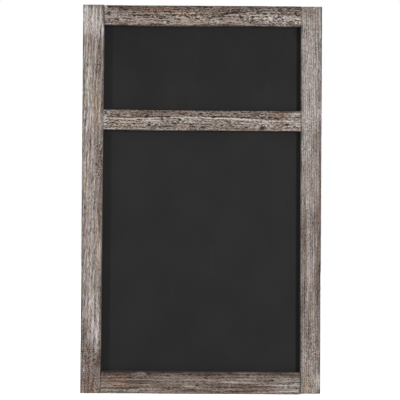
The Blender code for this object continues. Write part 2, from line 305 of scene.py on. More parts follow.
class Grain:
    """A place in a batten's wood in millimetres, and noise that runs with the grain there."""

    def __init__(self, net, place, wood):
        self.net = net
        self.wood = wood
        x, y, z = (value * 1000.0 for value in net.split(place))
        self.along, self.across = (z, x) if wood.upright else (x, z)
        self.deep = y
        if wood.knot:
            self.flow_round(*wood.knot)
        # The grain wanders sideways along the batten, slowly and in small ripples
        sway = net.split(self.drift(60, 24, output="Color"))
        ripple = net.split(self.drift(9, 6, output="Color"))
        self.aside = self.across + (centred(sway[0], wood.sway) + centred(ripple[0], wood.ripple))
        self.inward = self.deep + (centred(sway[1], wood.sway) + centred(ripple[1], wood.ripple))

    def flow_round(self, at, beside, reach, turn):
        """Turns the grain about a knot."""
        u = self.along - at
        v = self.across - beside
        gap = self.net.math("SQRT", u * u + v * v * 2.0)
        angle = gap.ramp(reach * 0.2, reach, turn, 0.0)
        cosine = self.net.math("COSINE", angle)
        sine = self.net.math("SINE", angle)
        self.along = u * cosine - v * sine + at
        self.across = u * sine + v * cosine + beside

    def drift(self, length, width, detail=1.0, output=0):
        """Noise of a length and a width that runs straight along the batten."""
        deep = self.deep * (1 / width) + self.wood.seed
        where = self.net.join(self.along * (1 / length), self.across * (1 / width), deep)
        return self.net.noise(where, detail=detail, output=output)

    def strands(self, length, width, offset, detail=1.0, rough=0.5, output=0):
        """Noise of a length and a width that follows the wandering grain."""
        along = self.along * (1 / length) + (offset + self.wood.seed)
        where = self.net.join(along, self.aside * (1 / width), self.inward * (1 / width))
        return self.net.noise(where, detail=detail, rough=rough, output=output)

    def late_wood(self):
        """The dark part of each growth ring, about a pith beside or behind the batten."""
        pith_across, pith_deep = self.wood.pith
        a = self.aside - (self.along * self.wood.tilt + pith_across)
        b = self.inward - pith_deep
        radius = self.net.math("SQRT", a * a + b * b)
        ring = self.net.math("FRACT", radius * (1 / self.wood.ring))
        return ring.ramp(0.2, 0.85) * ring.ramp(0.90, 1.0, 1.0, 0.0)


def wood_fields(net, place, mark, broken, wood):
    """How pale, dark, ringed and fibrous a batten is at a place in it.

    The same nodes make the relief of its mesh and the colour of its material. The mark
    lifts or sinks a listed line, and where it is broken the grain is short and rough.
    """
    grain = Grain(net, place, wood)
    dash_length, dash_width, dash_strength = wood.dash
    streak_length, streak_width, streak_strength = wood.streak
    dashes = grain.strands(dash_length, dash_width, 3.0, rough=0.4)
    crumbs = grain.strands(1.9, 1.15, 7.0, rough=0.6)
    streaks = grain.strands(streak_length, streak_width, 41.0)
    lanes = grain.strands(60.0, 5.5, 71.0)
    pits = grain.strands(dash_length * 0.5, dash_width * 0.35, 17.0)
    fibre = grain.strands(14.0, 0.33, 29.0)
    hue = grain.strands(20.0, 4.5, 53.0, 2.0, 0.6, output="Color")
    cloud = grain.drift(70, 10, 2.0)
    late = grain.late_wood()
    figure = centred(dashes, dash_strength) + centred(streaks, streak_strength)
    figure = figure + centred(lanes, wood.lanes)
    figure = figure * (1.0 - broken * 0.8) + centred(crumbs, 3.1) * broken
    figure = figure + (centred(cloud, wood.cloud) + centred(late, -0.16))
    # Along a marked line the mark outweighs the rest
    calm = net.math("ABSOLUTE", mark).ramp(0.05, 0.45, 1.0, 0.2)
    figure = (figure + centred(fibre, 0.45)) * calm + mark
    return {"figure": figure, "late": late, "pits": pits, "fibre": fibre, "cloud": cloud, "hue": hue}


def wood_material(wood):
    """Brushed, torched and whitewashed wood, tinted by the mesh's own tone and wear."""
    net = Surface(wood.name + "_brushed")

    def stored(name, output="Fac"):
        return net.value("ShaderNodeAttribute", output=output, attribute_name=name)

    fields = wood_fields(net, net.place, stored("mark"), stored("broken"), wood)
    tone = stored("tone", "Color")
    figure = fields["figure"]
    pits = fields["pits"]
    reach = 0.34 / wood.contrast

    # The tone is browner in late wood, and strays a little towards warm and mauve
    brown = net.mix(1.0, tone, LATE_WOOD, "MULTIPLY")
    colour = net.mix(fields["late"] * 0.5, tone, brown)
    warmth, mauve, _ = net.split(fields["hue"])
    warmth = warmth.ramp(0.3, 0.7, -wood.tint, wood.tint)
    mauve = mauve.ramp(0.3, 0.7, -0.45 * wood.tint, 0.45 * wood.tint)
    shades = net.join(warmth + mauve + 1.0, 1.0 - mauve, mauve - warmth + 1.0)
    colour = net.mix(1.0, colour, shades, "MULTIPLY")

    # Wash lies pale where the figure is high, and bare burnt grain shows where it is low
    light = net.value("ShaderNodeRGBToBW", {0: colour})
    pale = net.mix(0.35, colour, net.join(light, light, light))
    pale = net.mix(1.0, pale, WASHED, "MULTIPLY")
    pale = net.mix(0.6, pale, PALEST, "DARKEN")
    dark = net.mix(1.0, colour, SCORCHED, "MULTIPLY")
    colour = net.layer(colour, pale, figure, 0.0, reach)
    colour = net.layer(colour, dark, figure, 0.0, -reach / wood.bite)
    colour = net.layer(colour, dark, pits, 0.56, 0.72, 0.55)
    # Worn edges darken; along the bottom rail's upper edge the same darkening is painted shade
    colour = net.layer(colour, GRIME_AND_SHADE, stored("wear_and_shade") - figure * 0.5, 0.2, 0.9, 0.8)

    height = figure.ramp(-0.3, 0.2) + pits.ramp(0.5, 0.72, 0.0, -0.45) + fields["fibre"] * 0.5
    rough = figure.ramp(-0.3, 0.3, 0.95, 0.78)
    return net.finish(colour, rough, height, 0.6, 0.00025, specular=0.2)


def wood_relief(wood):
    """A geometry group that sinks pores and soft grain into a mesh, by its own 'weather'."""
    tree = bpy.data.node_groups.new(wood.name + "_relief", "GeometryNodeTree")
    for way in ("INPUT", "OUTPUT"):
        tree.interface.new_socket("Geometry", in_out=way, socket_type="NodeSocketGeometry")
    net = Net(tree)

    def stored(name):
        return net.value("GeometryNodeInputNamedAttribute", {"Name": name}, data_type="FLOAT")

    place = net.value("GeometryNodeInputPosition")
    fields = wood_fields(net, place, stored("mark"), stored("broken"), wood)
    depth = fields["cloud"] * 0.00012 + fields["late"].ramp(0.0, 1.0, 0.00010, 0.0)
    depth = fields["figure"].ramp(-0.3, 0.15, 0.00020, 0.0) + depth
    normal = net.value("GeometryNodeInputNormal")
    sunk = {0: normal, "Scale": depth * stored("weather") * -1.0}
    moves = {
        "Geometry": net.value("NodeGroupInput"),
        "Offset": net.value("ShaderNodeVectorMath", sunk, operation="SCALE"),
    }
    net.node("NodeGroupOutput", {0: net.value("GeometryNodeSetPosition", moves)})
    return tree


# Meshes that run along a line

def section(corners):
    """Points round a batten's section, from corners (v, w, radius, spacing to the next).

    Each point is (v, w, edge): edge is how near it is to a rounded corner, from 0 to 1.
    """
    points = []
    for index, (v, w, radius, spacing) in enumerate(corners):
        next_v, next_w, next_radius, _ = corners[(index + 1) % len(corners)]
        here = Vector((v, w))
        after = Vector((next_v, next_w))
        back = (Vector(corners[index - 1][:2]) - here).normalized()
        ahead = (after - here).normalized()
        if radius:
            centre = here + (back + ahead) * radius
            for step in range(CORNER_STEPS + 1):
                turn = math.pi / 2 * step / CORNER_STEPS
                spot = centre - ahead * radius * math.cos(turn) - back * radius * math.sin(turn)
                points.append((spot.x, spot.y, 1.0))
        else:
            points.append((v, w, 0.0))
        end = here + ahead * radius
        stop = after - ahead * next_radius
        length = (stop - end).length
        steps = max(1, round(length / spacing))
        for step in range(1, steps):
            share = step / steps
            spot = end.lerp(stop, share)
            near_end = math.exp(-length * share / CHIP_REACH) if radius else 0.0
            near_stop = math.exp(-length * (1 - share) / CHIP_REACH) if next_radius else 0.0
            points.append((spot.x, spot.y, max(near_end, near_stop)))
    return points


def loops_mesh(name, loops):
    """A closed mesh through loops of equal count, one after another along a line."""
    shape = bmesh.new()
    rows = [[shape.verts.new(place) for place in loop] for loop in loops]
    for row, after in zip(rows, rows[1:]):
        for k in range(len(row)):
            n = (k + 1) % len(row)
            shape.faces.new((row[k], row[n], after[n], after[k]))
    bmesh.ops.remove_doubles(shape, verts=shape.verts, dist=2 * TINY)
    rim = [edge for edge in shape.edges if edge.is_boundary]
    bmesh.ops.holes_fill(shape, edges=rim, sides=0)
    caps = [face for face in shape.faces if len(face.verts) > 4]
    bmesh.ops.triangulate(shape, faces=caps)
    bmesh.ops.recalc_face_normals(shape, faces=shape.faces)
    if shape.calc_volume(signed=True) < 0:
        bmesh.ops.reverse_faces(shape, faces=shape.faces)
    mesh = bpy.data.meshes.new(name)
    shape.to_mesh(mesh)
    shape.free()
    mesh.shade_smooth()
    mesh.set_sharp_from_angle(angle=math.radians(50))
    return mesh


def applied(piece, name):
    """The mesh of an object with its modifiers applied. The object itself goes."""
    graph = bpy.context.evaluated_depsgraph_get()
    made = bpy.data.meshes.new_from_object(piece.evaluated_get(graph))
    made.name = name
    bpy.data.objects.remove(piece)
    return made


def eased(radius, steps):
    """Distances from an end that is rounded, closest together at the end itself."""
    return [radius * (1 - math.cos(math.pi / 2 * k / steps)) for k in range(steps + 1)]


def positions(low, high, radius):
    """Places along a batten, with extra ones where its two ends are rounded."""
    count = max(2, round((high - low) / STEP))
    places = [low + (high - low) * k / count for k in range(count + 1)]
    for rise in eased(radius, CORNER_STEPS)[1:]:
        places += [low + rise, high - rise]
    return sorted(set(round(place, 7) for place in places))


def shrink(distance, radius):
    """How far a rounded edge has drawn in, at a distance from the end it rounds."""
    if distance >= radius:
        return 0.0
    return radius - math.sqrt(max(0.0, radius**2 - (radius - distance) ** 2))


def bend(knots, place):
    """A smooth curve through a few (place, offset) knots, flat beyond its ends."""
    if place <= knots[0][0]:
        return knots[0][1]
    for (a, low), (b, high) in zip(knots, knots[1:]):
        if place <= b:
            return low + (high - low) * smooth((place - a) / (b - a))
    return knots[-1][1]


def speckle(x, y, z, seed):
    """Smooth noise from -1 to 1 over arrays of places, one unit to a cell."""
    places = np.broadcast_arrays(x, y, z)
    cells = [np.floor(place).astype(np.int64) for place in places]
    shares = [smooth(place - cell) for place, cell in zip(places, cells)]
    total = 0.0
    for corner in range(8):
        bits = [(corner >> k) & 1 for k in range(3)]
        i, j, k = (cell + bit for cell, bit in zip(cells, bits))
        mixed = i * 374761393 + j * 668265263 + k * 1442695041 + int(seed * 97) * 974634777
        mixed = mixed & 0xFFFFFFFF
        mixed = ((mixed ^ (mixed >> 13)) * 1274126177) & 0xFFFFFFFF
        value = ((mixed ^ (mixed >> 16)) & 0xFFFF) / 32767.5 - 1.0
        weight = 1.0
        for bit, share in zip(bits, shares):
            weight = weight * (share if bit else 1 - share)
        total = total + weight * value
    return total


# Wood missing along an edge: cells to a metre, steps from edge to edge and of the seed, the
# level above which it goes, and how deep
CHIPS = ((95, 7.3, 0, 0.35, 0.0009), (330, 3.1, 4, 0.5, 0.0011), (22, 5.9, 9, 0.2, 0.0005))


def chips(place, edge_id, seed):
    """How much wood is missing from an edge at a place along it, in metres."""
    missing = 0.0
    for cells, apart, shift, level, depth in CHIPS:
        found = float(speckle(place * cells, edge_id * apart, 0.5, seed + shift))
        missing += depth * max(0.0, found - level)
    return missing


# What a batten's front looks like

# The finishes of brushed wood, from charred to thickly whitewashed. The burnt finish also
# paints a shadow, and the wash paints light on a shaded edge, at a few spots
CHAR = (66, 55, 50)
BURNT_AND_PAINTED_SHADOW = (90, 76, 67)
BARE = (108, 93, 82)
RUST = (125, 95, 76)
WORN = (121, 109, 102)
THIN = (138, 127, 121)
SAND = (146, 131, 115)
WASH_AND_PAINTED_LIGHT = (154, 147, 142)
MILK = (167, 160, 156)
CHALK = (185, 178, 174)

# One pixel of the photograph on the front
PIXEL = 0.00157

# Lines fade out over this many pixels at their ends
LINE_FADE = 8

# Cells to a metre of the noise by which the marks' edges stray
STRAY_ALONG = 45
STRAY_ACROSS = 170
STRAY_DEEP = 60

# Bare pits: their half lengths and half width in pixels, how deep they mark and how dark
PIT_LENGTHS = (1.0, 2.2)
PIT_WIDTH = 0.6
PIT_MARK = 0.42
PIT_STRENGTH = 0.7

# A soft patch of a finish. Across and down are its middle, in pixels of the photograph,
# wide and tall are half its size, and broken is how broken its grain is, from 0 to 1.
Spot = namedtuple("Spot", "across down wide tall finish strength broken", defaults=(0.0,))

# A line of a finish through points (across, down). Its width is half its real one, in
# pixels. A lift above 0 is wash that stands proud, and one below 0 is a dark groove.
Line = namedtuple("Line", "width finish strength lift points")


@dataclass
class Batten:
    """A batten's base colour, how that changes over its face, and its listed marks.

    The face is (low edge, high edge), and the painted shade gives (share of the face, factor):
    shade painted across the face, darker towards its edges and most at the rails' upper edges.
    Spots and lines come in the order of Spot and Line, and later ones lie over earlier ones.
    Short bare pits are strewn over it by the pit seed.
    """

    wood: Wood
    face: tuple
    base: tuple
    profile: tuple
    spots: list
    lines: list
    pits: int = 0
    pit_seed: int = 0


def painted(colour, finish, share):
    """Colours moved towards a finish, each by its own share."""
    return colour + (np.array(linear(finish)) - colour) * share[:, None]


def tones(batten, points):
    """The colour of the wood at each point with its painted shade and light, how its lines lift or sink,
    and how broken it is.
    """
    x, y, z = points.T.astype(float)
    upright, seed = batten.wood.upright, batten.wood.seed
    v, u = (x, z) if upright else (z, x)
    cells = (STRAY_ACROSS, STRAY_DEEP, STRAY_ALONG) if upright else (STRAY_ALONG, STRAY_DEEP, STRAY_ACROSS)
    stray = [value * count for value, count in zip((x, y, z), cells)]
    low, high = batten.face
    # Painted shade: the base colour darkens across the face by the painted shade's factors
    factor = np.interp((v - low) / (high - low), *zip(*batten.profile))
    colour = np.array(linear(batten.base)) * factor[:, None]
    shift_x = speckle(*stray, seed) * 0.5
    shift_z = speckle(*stray, seed + 5) * 0.5
    broken = np.zeros(len(points))
    lifted = np.zeros(len(points))

    def patch(middle_x, middle_z, wide, tall, ragged):
        """How far each point is inside a soft ellipse with a straying edge, from 0 to 1."""
        aside = (x - middle_x) / (wide * PIXEL) + shift_x * ragged
        above = (z - middle_z) / (tall * PIXEL) + shift_z * ragged
        return smooth(np.clip(1.5 - np.hypot(aside, above), 0, 1))

    for spot in starmap(Spot, batten.spots):
        share = patch(*seen(spot.across, spot.down), spot.wide, spot.tall, 1.0)
        broken = np.maximum(broken, share * spot.broken)
        colour = painted(colour, spot.finish, share * spot.strength)
    for line in starmap(Line, batten.lines):
        places = [seen(across, down) for across, down in line.points]
        knots = sorted((pz, px) if upright else (px, pz) for px, pz in places)
        at, beside = np.array(knots).T
        middle = np.interp(u, at, beside) + shift_x * PIXEL * 0.4
        fade = np.clip(np.minimum(u - at[0], at[-1] - u) / (LINE_FADE * PIXEL) + 0.5, 0, 1)
        share = np.exp(-(((v - middle) / (line.width * PIXEL)) ** 2)) * fade
        share = share * np.clip(0.8 + shift_z * 0.8, 0, 1)
        lifted = lifted + share * line.lift
        colour = painted(colour, line.finish, share * line.strength)
    draw = np.random.default_rng(batten.pit_seed)
    for number in range(batten.pits):
        pit_x = OPENING_X * (2 * (number + draw.random()) / batten.pits - 1)
        pit_z = low + (high - low) * draw.uniform(0.12, 0.95)
        share = patch(pit_x, pit_z, draw.uniform(*PIT_LENGTHS), PIT_WIDTH, 0.5)
        lifted = lifted - share * PIT_MARK
        colour = painted(colour, CHAR, share * PIT_STRENGTH)
    opaque = np.ones((len(points), 1))
    return np.hstack((colour, opaque)).astype(np.float32), lifted, broken


def edge_wear_and_shade(wood, points, sides, ends, joints):
    """How worn each point is, from the edges near it, given as (place, strength). Along the
    bottom rail's upper edge the same darkening is painted shade.

    A joint is (from, to, share): between those heights an inner edge meets a rail, and
    keeps only that share of its wear.
    """
    x, y, z = points.T.astype(float)
    v, u = (x, z) if wood.upright else (z, x)
    deep = np.maximum(0.0, y - FRONT)
    near = np.zeros(len(points))
    for place, edges in ((v, sides), (u, ends)):
        for edge, strength in edges:
            held = np.full(len(points), strength)
            if abs(edge) == OPENING_X:
                for low, high, share in joints:
                    held[(u > low) & (u < high)] *= share
            gap = np.hypot(place - edge, deep * 0.6)
            near = np.maximum(near, held * np.exp(-gap / WEAR_AND_SHADE_REACH))
    ragged = 0.8 + 0.35 * speckle(x * 260, 0.5, z * 260, wood.seed)
    return np.maximum(near * ragged, np.where(deep > 0.0012, 0.16, 0.0))


def weathered(points):
    """Full relief on the front, less on the sides, and hardly any at the back."""
    beside = np.abs(points[:, 0])
    deep = np.clip((points[:, 1] - FRONT) / (BACK - FRONT), 0, 1)
    field = np.where(deep < 0.08, 1.0, 0.7)
    field = np.where(deep > 0.93, 0.45, field)
    hidden = (beside > OPENING_X - 0.0035) & (beside < JOINT_X + 0.0002)
    return np.where(hidden & (deep > 0.12), 0.0, field)


def finish_batten(batten, mesh, sides, ends, joints=()):
    """Gives a batten's mesh its tone, wear, relief and material, and puts it on the frame."""
    wood = batten.wood
    name = wood.name + "_batten"
    flat = np.empty(len(mesh.vertices) * 3, np.float32)
    mesh.vertices.foreach_get("co", flat)
    points = flat.reshape(-1, 3)
    tone, mark, broken = tones(batten, points)
    colour = mesh.color_attributes.new("tone", "FLOAT_COLOR", "POINT")
    colour.data.foreach_set("color", tone.ravel())
    wear_and_shade = edge_wear_and_shade(wood, points, sides, ends, joints)
    fields = {"wear_and_shade": wear_and_shade, "weather": weathered(points), "mark": mark, "broken": broken}
    for label, values in fields.items():
        attribute = mesh.attributes.new(label, "FLOAT", "POINT")
        attribute.data.foreach_set("value", np.asarray(values, np.float32))
    raw = bpy.data.objects.new(name + "_raw", mesh)
    link(raw)
    raw.modifiers.new("relief", "NODES").node_group = wood_relief(wood)
    made = applied(raw, name)
    add_piece(name, made, wood_material(wood), "frame", wood.name)


def inner_face(head_pixel, foot_pixel, at_head, run):
    """A stile's inner face as a function of the height, from two pixels beside it."""
    head = seen(*head_pixel)[1]
    foot = seen(*foot_pixel)[1]

    def inner(z):
        return OPENING_X + at_head + run * (z - head) / (foot - head)

    return inner


# Both stiles' inner faces run out a little from the head to the foot
left_inner = inner_face((103, 40), (101, 330), -0.0008, 0.0016)
right_inner = inner_face((301, 40), (301, 330), -0.0004, 0.0009)


def stile_mesh(wood, side, inner):
    """An upright: side is -1 or 1, and inner gives its inner face's x at a height."""
    low, high = (corner.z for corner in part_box(wood.name))
    outer = side * HALF_WIDTH
    points = section([
        (outer, FRONT, ROUND, FINE),
        (side * OPENING_X, FRONT, ROUND, FINE),
        (side * OPENING_X, LIP_BACK, 0, COARSE),
        (side * JOINT_X, LIP_BACK, 0, COARSE),
        (side * JOINT_X, BACK, 0, COARSE),
        (outer, BACK, ROUND, BACK_FINE),
    ])
    loops = []
    for z in positions(low, high, ROUND):
        draw = shrink(min(z - low, high - z), ROUND)
        x_low, x_high = sorted((outer, side * min(inner(z), OPENING_X)))
        chip_outer = chips(z, side * 2, wood.seed)
        chip_inner = chips(z, side * 3, wood.seed) * 0.8
        loop = []
        for x, y, edge in points:
            share = min(1.0, max(0.0, (HALF_WIDTH - abs(x)) / (HALF_WIDTH - OPENING_X)))
            if y < LIP_BACK + TINY:
                x += side * (inner(z) - OPENING_X) * share
            if y < LIP_BACK:
                chip = (chip_inner if share > 0.5 else chip_outer) * edge
                x += chip * 0.6 * (side if share > 0.5 else -side)
                y += chip * 0.8
            x = min(max(x, x_low + draw), x_high - draw)
            y = min(max(y, FRONT + draw), BACK - draw)
            loop.append((x, y, z))
        loops.append(loop)
    return loops_mesh(wood.name + "_batten", loops)


# The line of a rail's edge that doesn't wander
STRAIGHT = ((0.0, 0.0), (1.0, 0.0))


def rail_mesh(batten, rabbets, ends_height, lower_line, upper_line):
    """A crosspiece, whose front just clears both stiles at a height.

    Its edges wander by the lines, knots (x, offset), and its tongues run on behind the lips.
    """
    low, high = batten.face
    seed = batten.wood.seed
    left_end = -left_inner(ends_height) + GAP
    right_end = right_inner(ends_height) - GAP
    reach = JOINT_X - GAP
    corners = [(low, FRONT, ROUND, FINE)]
    if "down" in rabbets:
        corners += [
            (low, LIP_BACK, 0, COARSE), (low + RABBET, LIP_BACK, 0, COARSE),
            (low + RABBET, BACK, 0, COARSE),
        ]
    else:
        corners.append((low, BACK, ROUND, BACK_FINE))
    if "up" in rabbets:
        corners += [
            (high - RABBET, BACK, 0, COARSE), (high - RABBET, LIP_BACK, 0, COARSE),
            (high, LIP_BACK, 0, FINE),
        ]
    else:
        corners.append((high, BACK, ROUND, FINE))
    corners.append((high, FRONT, ROUND, FINE))
    points = section(corners)

    def loop_at(x, tongue):
        draw = shrink(max(0.0, min(x - left_end, right_end - x)), SOFT_END)
        tip = shrink(reach - abs(x), ROUND)
        chip_low = chips(x, 5, seed)
        chip_high = chips(x, 6, seed)
        loop = []
        for z, y, edge in points:
            share = min(1.0, max(0.0, (z - low) / (high - low)))
            rim, inward, chip = (high, -1, chip_high) if share > 0.5 else (low, 1, chip_low)
            front = y < LIP_BACK + TINY
            if front:
                z += bend(lower_line, x) * (1 - share) + bend(upper_line, x) * share
            if y < LIP_BACK - TINY:
                z += inward * chip * edge * 0.7
                y += chip * edge * 0.8
            if tongue:
                y = min(max(y, LIP_BACK + GAP), BACK - tip)
                z = min(max(z, low + tip), high - tip)
            elif front:
                y = max(y, FRONT + draw)
                if (z - rim) * inward < ROUND + draw:
                    z += inward * draw
            loop.append((x, y, z))
        return loop

    tail = [-reach + rise for rise in eased(ROUND, CORNER_STEPS)]
    loops = [loop_at(x, True) for x in tail if x < left_end - 10 * TINY]
    loops.append(loop_at(left_end, True))
    loops += [loop_at(x, False) for x in positions(left_end, right_end, SOFT_END)]
    loops.append(loop_at(right_end, True))
    loops += [loop_at(-x, True) for x in reversed(tail) if -x > right_end + 10 * TINY]
    return loops_mesh(batten.wood.name + "_batten", loops)


def joints(top, middle, bottom):
    """How much wear a stile's inner edge keeps where it meets each rail."""
    return (
        (top_low.z, top_high.z, top),
        (middle_low.z, middle_high.z, middle),
        (bottom_low.z, bottom_high.z, bottom),
    )


# Left stile

left_wood = Wood(
    "left_stile", True, 11.0, pith=(-138.0, 12.0), tilt=0.028, ring=3.4, dash=(5.0, 0.95, 1.25),
    streak=(18.0, 1.3, 1.0), lanes=0.6, cloud=0.5, sway=3.6, ripple=0.5, tint=0.065,
    contrast=0.82, bite=1.0,
)
left_batten = Batten(
    left_wood, (-HALF_WIDTH, -OPENING_X), (152, 142, 136),
    # Painted shade across the stile's width, darker towards both edges
    ((0, 0.6), (0.07, 0.86), (0.3, 1.03), (0.6, 0.98), (0.85, 0.86), (0.95, 0.68), (1, 0.5)),
    [
        (90, 19, 6, 13, CHALK, 0.85), (100, 14, 3, 12, MILK, 0.9),
        (91, 46, 7, 14, THIN, 0.7, 0.3), (100, 28, 3, 7, CHALK, 0.7),
        (100, 66, 3, 18, WORN, 0.8, 0.9), (96, 110, 4.5, 18, SAND, 0.85),
        (88, 115, 2.6, 18, CHALK, 0.75), (91, 139, 5, 12, THIN, 0.85),
        (102.6, 121, 1.4, 7, WASH_AND_PAINTED_LIGHT, 0.9), (88, 252, 4, 13, CHALK, 0.7),
        (99, 160, 4, 26, WORN, 0.8, 1), (99, 200, 4, 20, WORN, 0.8, 0.5),
        (84, 196, 3, 20, THIN, 0.7), (91, 236, 4, 34, WASH_AND_PAINTED_LIGHT, 0.7), (97, 248, 2, 40, SAND, 0.8),
        (100.5, 215, 2, 12, BARE, 0.7), (100, 282, 3, 20, WORN, 0.7, 0.5),
        (86, 279, 3, 11, MILK, 0.8), (93, 310, 7, 15, CHALK, 0.95),
        (84, 336, 3, 16, WORN, 0.9, 0.5), (94, 338, 5, 12, CHALK, 0.9),
        (83, 97, 2.2, 12, WORN, 0.85), (83, 15, 2, 15, THIN, 0.8), (94, 205, 3, 11, MILK, 0.7),
        # The burnt spot at (99, 362) is painted shadow, in the corner where the foot's inner edge meets
        # the bottom rail
        (90, 356, 9, 13, WORN, 1, 1), (99, 362, 4, 9, BURNT_AND_PAINTED_SHADOW, 0.9, 0.6),
        (90, 380, 11, 13, WORN, 1, 1), (91, 386, 9, 8, RUST, 0.45, 1),
        (99, 374, 4, 6, BARE, 0.6, 0.6), (93, 5.5, 10, 2, WORN, 0.6), (94, 285, 3, 7, MILK, 0.8),
    ],
    [
        (0.6, BURNT_AND_PAINTED_SHADOW, 0.6, -0.32, ((104, 8), (103, 18), (101.5, 26), (99.5, 40), (97.5, 60), (96, 78))),
        (0.6, WORN, 0.5, -0.16, ((91, 8), (91, 26), (90, 44))),
        (0.8, RUST, 0.5, 0, ((96, 95), (95.5, 115), (94.5, 140))),
        (0.6, BURNT_AND_PAINTED_SHADOW, 0.6, -0.3, ((98, 148), (100.5, 156), (102, 166))),
        (0.6, BURNT_AND_PAINTED_SHADOW, 0.6, -0.3, ((102, 148), (99.5, 158), (98, 168))),
        (0.6, WORN, 0.5, -0.14, ((88, 230), (86, 270), (88, 310))),
        (0.6, WORN, 0.5, -0.16, ((95, 220), (94.5, 260), (95, 320))),
        (0.7, CHALK, 0.5, 0.25, ((93, 318), (96, 334), (99.5, 352))),
    ],
)
finish_batten(
    left_batten, stile_mesh(left_wood, -1, left_inner),
    sides=((-HALF_WIDTH, 1.15), (-OPENING_X, 0.65)), ends=((left_high.z, 0.8), (left_low.z, 1.0)),
    joints=joints(0.9, 0.1, 0.7),
)

# Right stile

right_wood = Wood(
    "right_stile", True, 23.0, pith=(200.0, 10.0), tilt=-0.012, ring=2.6, dash=(3.2, 0.85, 1.3),
    streak=(15.0, 1.3, 0.55), lanes=0.55, cloud=0.6, sway=3.0, ripple=0.5, tint=0.05,
    contrast=0.86, bite=1.0,
)
right_batten = Batten(
    right_wood, (OPENING_X, HALF_WIDTH), (145, 137, 132),
    # Painted shade across the stile's width, darker towards both edges
    ((0, 0.42), (0.07, 0.64), (0.14, 0.88), (0.35, 1.02), (0.6, 1.0), (0.85, 0.84), (0.94, 0.64),
     (1, 0.46)),
    [
        (312, 9, 9, 5, WORN, 0.8, 0.5), (306, 21, 5, 8, CHALK, 0.75, 0.3),
        (312, 42, 9, 14, WASH_AND_PAINTED_LIGHT, 0.7), (317, 67, 3, 11, MILK, 0.8), (312, 90, 9, 16, WASH_AND_PAINTED_LIGHT, 0.8),
        (311, 121, 10, 14, WASH_AND_PAINTED_LIGHT, 0.9, 0.6), (318.5, 150, 2.4, 20, WORN, 0.8),
        # The wash spots at (301.4, 15) and (301.2, 121) are painted light: they pale the stile's inner
        # edge, which lies in shade, where it meets the top and middle rails
        (305.5, 148, 4, 14, MILK, 0.8), (301.4, 15, 1.5, 9, WASH_AND_PAINTED_LIGHT, 0.9),
        (301.2, 121, 1.5, 8, WASH_AND_PAINTED_LIGHT, 0.9), (311, 186, 9, 20, THIN, 0.8, 0.4),
        (315, 215, 3, 10, MILK, 0.85), (319, 230, 2.2, 50, BARE, 0.9),
        (304, 244, 4, 26, WORN, 0.8), (311, 249, 4, 20, WASH_AND_PAINTED_LIGHT, 0.8),
        (318.5, 282, 3, 22, BURNT_AND_PAINTED_SHADOW, 0.8), (318.5, 328, 2.5, 18, BARE, 0.9, 0.5),
        (313, 298, 3, 24, WORN, 0.8), (308, 328, 6, 8, WORN, 0.8, 0.7),
        (311, 352, 9, 17, THIN, 0.9, 0.9), (307, 382, 6, 9, SAND, 0.8, 0.6),
        (318, 382, 3, 8, MILK, 0.9), (318, 37, 2.5, 7, MILK, 0.8),
        (309, 308, 4, 11, WORN, 0.7), (309, 8, 6, 3, WASH_AND_PAINTED_LIGHT, 0.4),
    ],
    [
        (0.6, BARE, 0.5, -0.14, ((316, 205), (315, 250), (316, 300))),
        (0.6, BARE, 0.5, -0.12, ((305, 200), (306, 260), (304, 320))),
        (0.9, RUST, 0.5, 0, ((310, 280), (310, 310), (309, 335))),
    ],
)
finish_batten(
    right_batten, stile_mesh(right_wood, 1, right_inner),
    sides=((HALF_WIDTH, 1.3), (OPENING_X, 0.9)), ends=((right_high.z, 1.0), (right_low.z, 1.1)),
    joints=joints(0.3, 0.1, 0.4),
)

# Top rail

